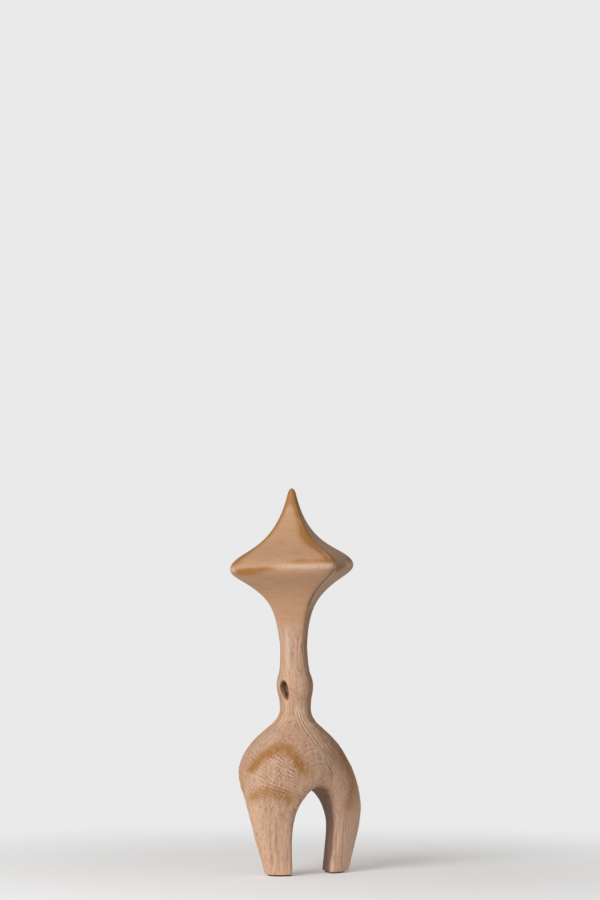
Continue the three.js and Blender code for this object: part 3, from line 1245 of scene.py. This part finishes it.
@dataclass(frozen=True)
class PaleWood:
    """Oiled pale hardwood: pinkish body, browner satin head, orange-brown rubbed places, with painted
    highlights and shade.
    """

    body: tuple = tint(213, 172, 142)
    body_pink: tuple = tint(218, 180, 154)
    head: tuple = tint(208, 164, 129)
    # Darkest tone, also the colour of the painted shade on the side away from the key light.
    deep_tone_and_shade: tuple = tint(152, 104, 66)
    grain: tuple = tint(160, 110, 72)
    pore: tuple = tint(112, 70, 46)
    rub: tuple = tint(168, 110, 36)
    # Pale wear colour, also used for painted highlights.
    wear_and_highlight: tuple = tint(240, 217, 198)
    # Colour of the painted shade in the recess, the passage and beside the head's lower edges.
    painted_shade: tuple = tint(78, 49, 31)
    matte: float = 0.72
    satin: float = 0.46
    bump: float = 0.00022

    def material(self) -> bpy.types.Material:
        """Builds the wood's nodes.

        Returns:
            The material, whose colour, roughness and fine relief follow the grain and the marks, and whose
            colour also holds painted highlights and shade.
        """
        n = Nodes("pale_hardwood")
        broad = n.noise((22, 22, 9), 3.0, 0.5)
        streak = n.noise((520, 520, 17), 4.0, 0.62)
        fine = n.noise((1500, 1500, 90), 3.0, 0.6)
        pores = n.noise((1500, 1500, 150), 1.0, 0.5)
        speckle = n.noise((800, 800, 800), 3.0, 0.65)
        satin = n.share(Surface.SATIN)
        matte = n.math("SUBTRACT", 1.0, satin)
        base = n.mix(n.ramp(broad, 0.35, 0.65), self.body, self.body_pink)
        base = n.mix(satin, base, self.head)
        # Painted shade on the side away from the key light, with a darker tone by height.
        base = n.mix(n.within(n.share(Surface.TONE_AND_SHADE), 0.5, 0.0), base, self.deep_tone_and_shade)
        dark = n.math("MULTIPLY", n.ramp(streak, 0.5, 0.7), n.within(satin, 0.62, 0.12))
        base = n.mix(dark, base, self.grain)
        # Painted shade in the tool marks' furrows and painted highlight on their crests, on the matte wood.
        crest = n.share(Surface.MARK_SHADING)
        low = n.math("MULTIPLY", n.ramp(crest, 0.5, 0.1), 0.75)
        base = n.mix(n.math("MULTIPLY", low, matte), base, self.grain)
        high = n.math("MULTIPLY", n.ramp(crest, 0.58, 1.0), 0.4)
        base = n.mix(n.math("MULTIPLY", high, matte), base, self.wear_and_highlight)
        pore = n.math("MULTIPLY", n.ramp(pores, 0.63, 0.72), n.math("MULTIPLY", matte, 0.5))
        base = n.mix(pore, base, self.pore)
        light = n.math("MULTIPLY", n.ramp(fine, 0.52, 0.68), n.math("MULTIPLY", matte, 0.45))
        base = n.mix(light, base, self.wear_and_highlight)
        rub = n.math("MULTIPLY", n.share(Surface.RUB), n.within(n.ramp(speckle, 0.35, 0.6), 0.62, 0.95))
        base = n.mix(rub, base, self.rub)
        # Painted highlights: the strokes' lit edges, the neck and the line beside the head's lower edges.
        base = n.mix(n.math("MULTIPLY", n.share(Surface.PALE_HIGHLIGHT), 0.6), base, self.wear_and_highlight)
        scratched = n.within(n.ramp(fine, 0.38, 0.62), 0.2, 0.7)
        # Wear with a painted highlight on the head's ridge, and a painted highlight at its left corner.
        base = n.mix(n.math("MULTIPLY", n.share(Surface.WEAR_AND_HIGHLIGHT), scratched), base, self.wear_and_highlight)
        rings = n.noise((60, 60, 900), 2.0, 0.5)
        ring = n.math("MULTIPLY", n.ramp(rings, 0.5, 0.7), n.within(satin, 0.0, 0.26))
        base = n.mix(ring, base, self.grain)
        # Painted shade in the recess, the passage and beside the head's lower edges.
        base = n.mix(n.math("MULTIPLY", n.share(Surface.PAINTED_SHADE), 0.9), base, self.painted_shade)
        rough = n.within(satin, self.matte, self.satin)
        rough = n.math("ADD", rough, n.within(streak, -0.12, 0.12))
        relief = n.math("ADD", n.math("MULTIPLY", streak, 0.5), n.math("MULTIPLY", fine, 0.5))
        relief = n.math("SUBTRACT", relief, n.math("MULTIPLY", n.ramp(pores, 0.6, 0.72), 0.4))
        bumpiness = n.within(satin, 0.9, 0.1)
        height = n.add("Bump", {"Strength": bumpiness, "Distance": self.bump, "Height": relief})
        shader = n.add(
            "BsdfPrincipled",
            {"Base Color": base, "Roughness": rough, "Normal": height.outputs[0], "Specular IOR Level": 0.3},
        )
        return n.shine(shader)


@dataclass(frozen=True)
class PressedFelt:
    """Dark brown pressed wool felt with short loose hairs."""

    dark: tuple = tint(72, 58, 48)
    pale: tuple = tint(112, 94, 80)

    def material(self) -> bpy.types.Material:
        """Builds the felt's nodes: matted fibres in colour and relief, with a soft sheen.

        Returns:
            The material.
        """
        n = Nodes("pressed_felt")
        mat = n.noise((2600, 2600, 2600), 5.0, 0.7)
        cloud = n.noise((420, 420, 420), 2.0, 0.5)
        fibres = n.math("MULTIPLY", n.ramp(mat, 0.35, 0.7), 0.7)
        clouds = n.math("MULTIPLY", cloud, 0.3)
        base = n.mix(n.math("ADD", fibres, clouds), self.dark, self.pale)
        height = n.add("Bump", {"Strength": 0.8, "Distance": 0.0003, "Height": mat})
        shader = n.add(
            "BsdfPrincipled",
            {"Base Color": base, "Roughness": 0.96, "Sheen Weight": 0.35, "Normal": height.outputs[0]},
        )
        return n.shine(shader)


@dataclass(frozen=True)
class StudioFloor:
    """Plain pale floor that melts into the surroundings towards its edge."""

    colour: tuple = tint(245, 245, 246)
    glow: float = 0.17
    solid_radius: float = 0.16
    clear_radius: float = 0.62

    def material(self) -> bpy.types.Material:
        """Builds the floor's nodes: a diffuse floor mixed into clearness by its radius.

        Returns:
            The material.
        """
        n = Nodes("pale_floor")
        place = n.add("TexCoord").outputs["Object"]
        radius = n.add("VectorMath", {0: place}, operation="LENGTH").outputs["Value"]
        clear = n.ramp(radius, self.solid_radius, self.clear_radius)
        soft = n.add("BsdfDiffuse", {"Color": self.colour})
        glow = n.add("Emission", {"Color": self.colour, "Strength": self.glow})
        lit = n.add("AddShader", {0: soft.outputs[0], 1: glow.outputs[0]})
        air = n.add("BsdfTransparent")
        mixed = n.add("MixShader", {0: clear, 1: lit.outputs[0], 2: air.outputs[0]})
        return n.shine(mixed)


# ---------------------------------------------------------------- pieces


def mesh_object(name: str, points: Array, faces: Array, smooth: bool = True) -> bpy.types.Object:
    """Puts points and faces into a new mesh object that sits at the origin.

    Args:
        name: The object's name.
        points: Places in millimetres.
        faces: Four point numbers a face, where a triangle repeats its last one.
        smooth: Whether the faces are shaded smoothly.

    Returns:
        The object, linked to the scene.
    """
    triangle = faces[:, 2] == faces[:, 3]
    sizes = np.where(triangle, 3, 4)
    corners = faces[~np.column_stack([np.zeros((len(faces), 3), bool), triangle])]
    mesh = bpy.data.meshes.new(name)
    mesh.vertices.add(len(points))
    mesh.vertices.foreach_set("co", (points * METRES).astype(np.float32).ravel())
    mesh.loops.add(len(corners))
    mesh.loops.foreach_set("vertex_index", corners.astype(np.int32))
    mesh.polygons.add(len(faces))
    starts = np.concatenate([[0], np.cumsum(sizes)[:-1]])
    mesh.polygons.foreach_set("loop_start", starts.astype(np.int32))
    mesh.polygons.foreach_set("use_smooth", np.full(len(faces), smooth))
    mesh.update(calc_edges=True)
    mesh.validate()
    piece = bpy.data.objects.new(name, mesh)
    bpy.context.scene.collection.objects.link(piece)
    return piece


def log_piece(piece: bpy.types.Object) -> None:
    """Reports a finished piece's size and its number of triangles.

    Args:
        piece: The finished piece.
    """
    mesh = piece.data
    triangles = sum(len(p.vertices) - 2 for p in mesh.polygons)
    size = [round(v * 1000, 1) for v in piece.dimensions]
    LOG.info("%s: %s mm, %d triangles", piece.name, size, triangles)


@dataclass
class Figure:
    """The carving itself: one block of wood from soles to tip."""

    block: Block = Block()
    finish: PaleWood = PaleWood()
    tone: tuple[tuple[float, float], ...] = (
        (0, 1.0), (60, 1.0), (90, 0.66), (125, 0.62), (150, 0.72), (190, 0.84), (215, 0.6),
        (240, 0.62), (262, 0.76),
    )  # fmt: skip

    def build(self) -> bpy.types.Object:
        """Makes the skin, cuts the tool marks into it and dresses it.

        Returns:
            The piece that stands for the CAD node of the carving.
        """
        points, faces, skin = SkinGrid(self.block).build()
        carving = Carving(self.block)
        on_skin = points[:skin]
        normal = self.block.normals(on_skin)
        raised = on_skin + normal * carving.relief(on_skin)[:, None]
        raised[:, 2] = np.clip(raised[:, 2], None, self.block.top)
        foot = on_skin[:, 2] < 4.0
        raised[foot, 2] = on_skin[foot, 2]
        points = np.concatenate([raised, points[skin:]])
        piece = mesh_object("carved_figure", points, faces)
        for surface, values in self.shares(carving, points).items():
            layer = piece.data.attributes.new(surface.value, "FLOAT", "POINT")
            layer.data.foreach_set("value", values.astype(np.float32))
        piece.data.materials.append(self.finish.material())
        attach(piece, "root")
        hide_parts("figure")
        return piece

    def shares(self, carving: Carving, points: Array) -> dict[Surface, Array]:
        """The per-point shares that the wood's material reads, painted highlights and shade among them."""
        rub, wear_and_highlight, line, edge_shade = carving.head_rub(points)
        # Painted shade: dark brown inside the recess, deeper in the passage between the legs, and in the
        # band beside the head's lower edges.
        depth = self.block.outside(points)
        mouth = self.block.recess.distance(points)
        painted_shade = eased((-depth - 0.9) / 4.0) * eased((4.0 - mouth) / 3.0)
        painted_shade *= 0.85 + 0.8 * lattice_noise(points * [0.6, 0.6, 0.09], 141)
        # Painted shade on the passage's walls, darker the deeper they lie inside the block.
        passage_shade = 0.8 * eased((-depth - 0.5) / 12.0) * (points[:, 2] < 120.0)
        painted_shade = np.clip(np.maximum(painted_shade, passage_shade) + 0.62 * edge_shade, 0.0, 1.0)
        return {
            Surface.RUB: np.maximum(rub, carving.hip_rub(points)),
            Surface.WEAR_AND_HIGHLIGHT: wear_and_highlight,
            Surface.SATIN: carving.head_share(points),
            Surface.MARK_SHADING: carving.contrast(points),
            # Painted highlights of the strokes, the neck and the head's lower edges.
            Surface.PALE_HIGHLIGHT: np.clip(np.maximum(carving.grooves(points)[1], line), 0.0, 1.0),
            Surface.PAINTED_SHADE: painted_shade,
            Surface.TONE_AND_SHADE: self.tone_and_side_shade(points),
        }


    def tone_and_side_shade(self, points: Array) -> Array:
        """How light the colour is, by height, with painted shade on the side left of the doll's front.

        Args:
            points: Places on the skin.

        Returns:
            One value for each point.
        """
        x, y, z = points.T
        turn = np.degrees(np.arctan2(x - self.block.side.at(z), self.block.backward.at(z) - y))
        # Painted shade on the side turned away from the key light, from the hips up to the head.
        side_shade = eased((turn - 6.0) / 14.0) * eased((70.0 - turn) / 16.0)
        side_shade *= eased((z - 95.0) / 20.0) * eased((268.0 - z) / 12.0)
        return np.interp(z, *np.array(self.tone).T) * (1.0 - side_shade)


@dataclass
class FootPad:
    """A felt pad under one foot: a flat disc in the foot's outline with a soft, hairy edge."""

    name: str
    node: str
    inset: float = 1.2
    rings: int = 9
    points_around: int = 180
    finish: PressedFelt = PressedFelt()

    def build(self) -> bpy.types.Object:
        """Makes the pad from its CAD node's own outline.

        The outline is the CAD pad's reach in each direction from its middle. The pad's profile
        goes out along the underside, round the edge as half an ellipse, and back along the top.

        Returns:
            The piece that stands for the CAD pad.
        """
        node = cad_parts[self.node]
        co = np.empty(len(node.data.vertices) * 3)
        node.data.vertices.foreach_get("co", co)
        co = co.reshape(-1, 3) / METRES
        top = co[:, 2].max()
        middle = (co.min(0) + co.max(0))[:2] / 2
        edge = np.unique(np.round(co[:, :2], 4), axis=0) - middle
        angle = np.arctan2(edge[:, 1], edge[:, 0])
        order = np.argsort(angle)
        turn = -np.linspace(-math.pi, math.pi, self.points_around + 1)[:-1]
        reach = self.reach(edge[order], turn)
        bend = np.linspace(-math.pi / 2, math.pi / 2, self.rings)
        soft = top / 2
        rows = []
        for share in (0.35, 0.7, 0.9):
            rows.append((share * reach, np.zeros_like(turn)))
        for a in bend:
            out = reach - self.inset - soft * (1 - math.cos(a))
            rows.append((out, np.full_like(turn, soft + soft * math.sin(a))))
        for share in (0.9, 0.7, 0.35):
            rows.append((share * reach, np.full_like(turn, top)))
        grid = np.array([np.stack([r * np.cos(turn), r * np.sin(turn), z], -1) for r, z in rows])
        grid += [*middle, 0.0]
        hair = lattice_noise(grid * 1.6, 131) * 0.10 + lattice_noise(grid * 3.1, 137) * 0.06
        sideways = grid - [*middle, top / 2]
        sideways /= np.linalg.norm(sideways, axis=-1, keepdims=True)
        rim = np.zeros(len(rows))
        rim[4:-4] = 1.0
        grid += sideways * (np.minimum(hair, 0.1) * rim[:, None])[..., None] * [1, 1, 0]
        sheet = Sheet()
        numbers = sheet.add(grid)
        numbers = np.concatenate([numbers, numbers[:, :1]], 1)
        low, high = sheet.add(np.array([[*middle, 0.0]])), sheet.add(np.array([[*middle, top]]))
        sheet.net(numbers, True)
        sheet.fan(numbers[0], int(low[0]), False)
        sheet.fan(numbers[-1], int(high[0]), True)
        piece = mesh_object(self.name, *sheet.finished())
        piece.data.materials.append(self.finish.material())
        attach(piece, "root")
        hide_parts(self.node)
        return piece

    @staticmethod
    def reach(edge: Array, turn: Array) -> Array:
        """How far a closed outline reaches from its middle in each direction.

        A ray and a side of the outline meet where both of their line equations hold, and the
        farthest meeting counts.

        Args:
            edge: Corners of the outline in order round the middle.
            turn: Directions in radians.

        Returns:
            The reach in each direction.
        """
        following = np.roll(edge, -1, axis=0)
        side = following - edge
        ray = np.stack([np.cos(turn), np.sin(turn)], -1)[:, None]
        cross = ray[..., 0] * side[:, 1] - ray[..., 1] * side[:, 0]
        cross = np.where(np.abs(cross) < 1e-9, 1e-9, cross)
        far = (edge[:, 0] * side[:, 1] - edge[:, 1] * side[:, 0]) / cross
        where = (edge[:, 0] * ray[..., 1] - edge[:, 1] * ray[..., 0]) / cross
        met = (far > 0) & (where >= -0.001) & (where <= 1.001)
        return np.where(met, far, 0.0).max(1)


# ---------------------------------------------------------------- stage


@dataclass(frozen=True)
class AreaLight:
    """A soft studio light, placed by its direction from the doll's middle."""

    name: str
    turn: float
    height: float
    distance: float
    size: float
    power: float
    colour: tuple[float, float, float] = (1.0, 1.0, 1.0)

    def build(self, target: Array) -> bpy.types.Object:
        """Makes the light and points it at the target.

        Args:
            target: The lit place, in metres.

        Returns:
            The light's object.
        """
        data = bpy.data.lights.new(self.name, "AREA")
        data.shape, data.size = "DISK", self.size
        data.energy, data.color = self.power, self.colour
        light = bpy.data.objects.new(self.name, data)
        a, e = math.radians(self.turn), math.radians(self.height)
        away = np.array([math.sin(a) * math.cos(e), -math.cos(a) * math.cos(e), math.sin(e)])
        light.location = target + away * self.distance
        light.rotation_euler = (math.pi / 2 - e, 0.0, a)
        bpy.context.scene.collection.objects.link(light)
        return light


@dataclass
class Studio:
    """Floor, lights, surroundings and camera. Lengths are in metres."""

    view_turn: float = -34.0
    view_distance: float = 4.4357
    view_height: float = 0.4177
    view_aside: float = 0.00774
    lens: float = 180.0
    floor_radius: float = 0.64
    backdrop: float = 0.82
    ambient: float = 0.34
    lights: tuple[AreaLight, ...] = (AreaLight("key_light", -70.0, 22.0, 1.9, 1.2, 25.0),)

    def build(self) -> None:
        """Makes the whole stage."""
        self.floor()
        for light in self.lights:
            light.build(np.array([0.0, 0.0, 0.19]))
        self.surroundings()
        self.camera()
        bpy.context.scene.view_settings.view_transform = "Standard"

    def floor(self) -> None:
        """A round floor: rings of points whose radius grows evenly from the middle."""
        turn = -np.linspace(0, 2 * math.pi, 97)[:-1]
        radius = np.linspace(0.1, 1.0, 8)[:, None] * self.floor_radius / METRES
        rings = np.stack([radius * np.cos(turn), radius * np.sin(turn), 0 * radius * turn], -1)
        sheet = Sheet()
        numbers = sheet.add(rings)
        numbers = np.concatenate([numbers, numbers[:, :1]], 1)
        middle = sheet.add(np.zeros((1, 3)))
        sheet.net(numbers[::-1], True)
        sheet.fan(numbers[0], int(middle[0]), True)
        floor = mesh_object("pale_floor", *sheet.finished(), smooth=False)
        floor.data.materials.append(StudioFloor().material())

    def surroundings(self) -> None:
        """Near-white surroundings that light the doll more gently than they look."""
        world = bpy.data.worlds.new("pale_studio")
        world.use_nodes = True
        tree = world.node_tree
        tree.nodes.clear()
        output = tree.nodes.new("ShaderNodeOutputWorld")
        seen, felt = (tree.nodes.new("ShaderNodeBackground") for _ in range(2))
        seen.inputs["Color"].default_value = (1.0, 1.0, 1.008, 1.0)
        seen.inputs["Strength"].default_value = self.backdrop
        felt.inputs["Color"].default_value = (1.0, 0.97, 0.93, 1.0)
        felt.inputs["Strength"].default_value = self.ambient
        path = tree.nodes.new("ShaderNodeLightPath")
        mixed = tree.nodes.new("ShaderNodeMixShader")
        tree.links.new(path.outputs["Is Camera Ray"], mixed.inputs[0])
        tree.links.new(felt.outputs[0], mixed.inputs[1])
        tree.links.new(seen.outputs[0], mixed.inputs[2])
        tree.links.new(mixed.outputs[0], output.inputs["Surface"])
        bpy.context.scene.world = world

    def camera(self) -> None:
        """A level camera with a long lens, turned to the doll's right front."""
        a = math.radians(-self.view_turn)
        onward = np.array([math.sin(a), math.cos(a), 0.0])
        aside = np.array([math.cos(a), -math.sin(a), 0.0])
        data = bpy.data.cameras.new("studio_camera")
        data.lens, data.sensor_width = self.lens, 36.0
        camera = bpy.data.objects.new("studio_camera", data)
        place = -onward * self.view_distance + aside * self.view_aside
        camera.location = place + [0.0, 0.0, self.view_height]
        camera.rotation_euler = (math.pi / 2, 0.0, -a)
        bpy.context.scene.collection.objects.link(camera)
        bpy.context.scene.camera = camera


def main() -> None:
    """Builds the pieces and the stage in order."""
    logging.basicConfig(level=logging.INFO, format="%(name)s: %(message)s")
    log_piece(Figure().build())
    for side in ("right", "left"):
        log_piece(FootPad(f"felt_pad_{side}", f"foot_pad_{side}").build())
    Studio().build()


if __name__ == "__main__":
    main()
